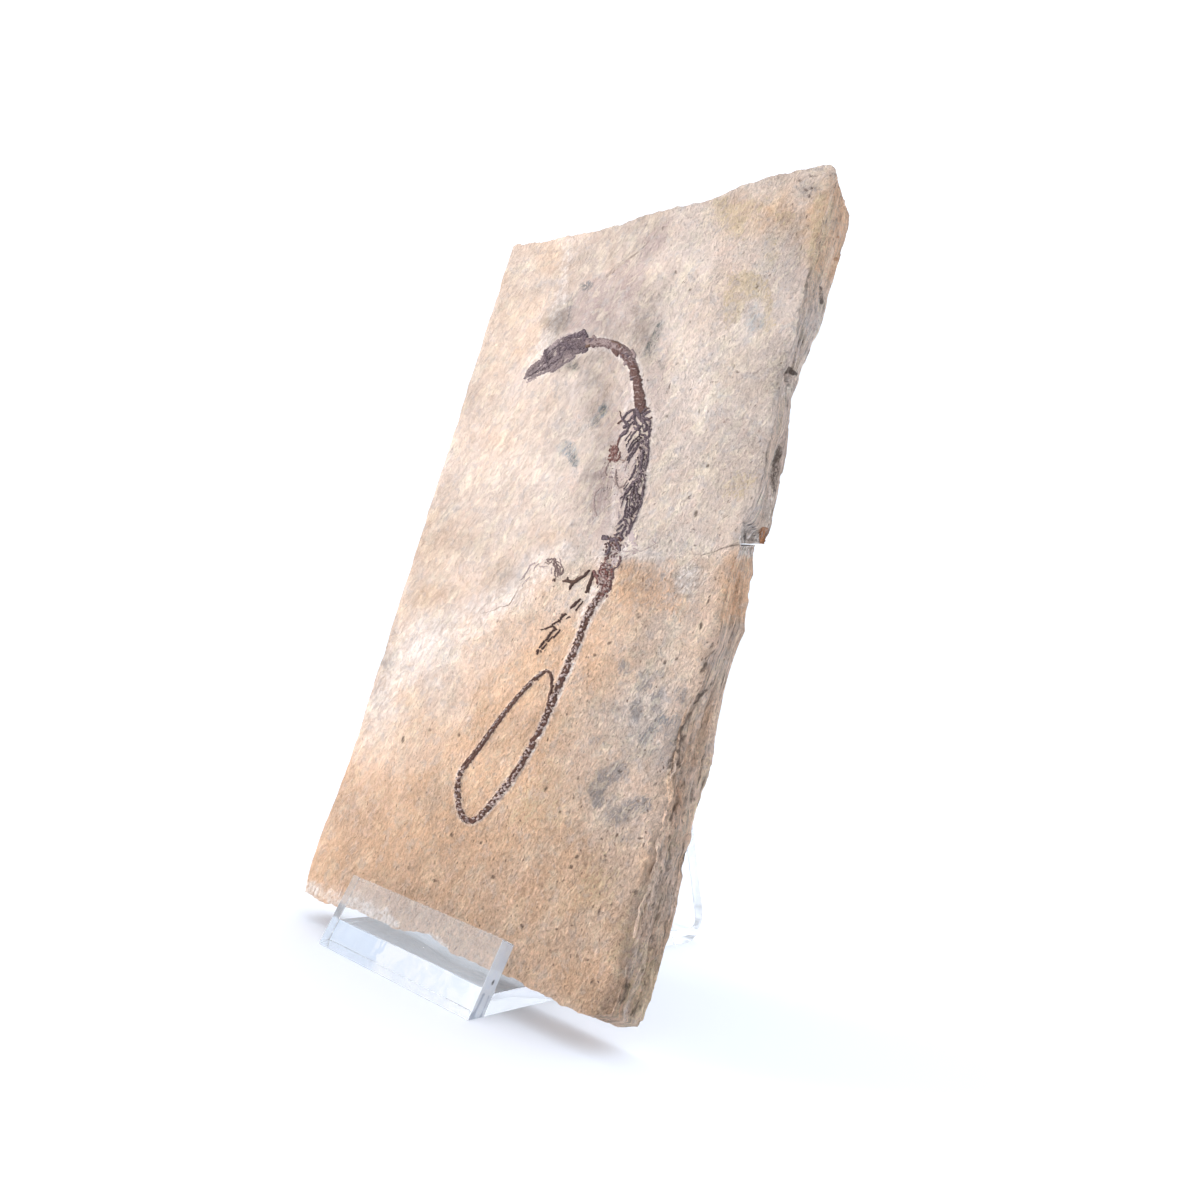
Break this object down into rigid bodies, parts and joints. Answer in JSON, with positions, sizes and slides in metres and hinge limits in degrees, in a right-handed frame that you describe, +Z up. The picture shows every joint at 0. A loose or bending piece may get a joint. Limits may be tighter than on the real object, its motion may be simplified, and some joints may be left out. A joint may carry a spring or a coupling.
{
  "type": "fossil aquatic reptile slab on stand",
  "caption": "Long-necked aquatic reptile fossil with a looped tail on a mended shale slab, leaning on a clear acrylic easel stand.",
  "frame": {"origin": "on the floor, below the middle of the whole object's box", "axes": "+X along the stand's front lip, to the right seen from the front; +Y from front to back; +Z up, the slab's long way"},
  "size_m": [0.1306, 0.1546, 0.261],
  "materials": {
    "shale_upper": "matte",
    "shale_lower": "matte",
    "filler": "matte",
    "bone_dark": "satin",
    "bone_brown": "satin",
    "clear_acrylic": "polished"
  },
  "bodies": {
    "root": {"upper_slab": "shale_upper", "lower_slab": "shale_lower", "break_filler": "filler", "skull": "bone_dark", "neck": "bone_brown", "shoulder_girdle": "bone_dark", "trunk": "bone_dark", "pelvis": "bone_brown", "left_hind_leg": "bone_brown", "right_hind_leg": "bone_brown", "tail": "bone_brown", "stand_front_lip": "clear_acrylic", "stand_base": "clear_acrylic"}
  },
  "joints": []
}
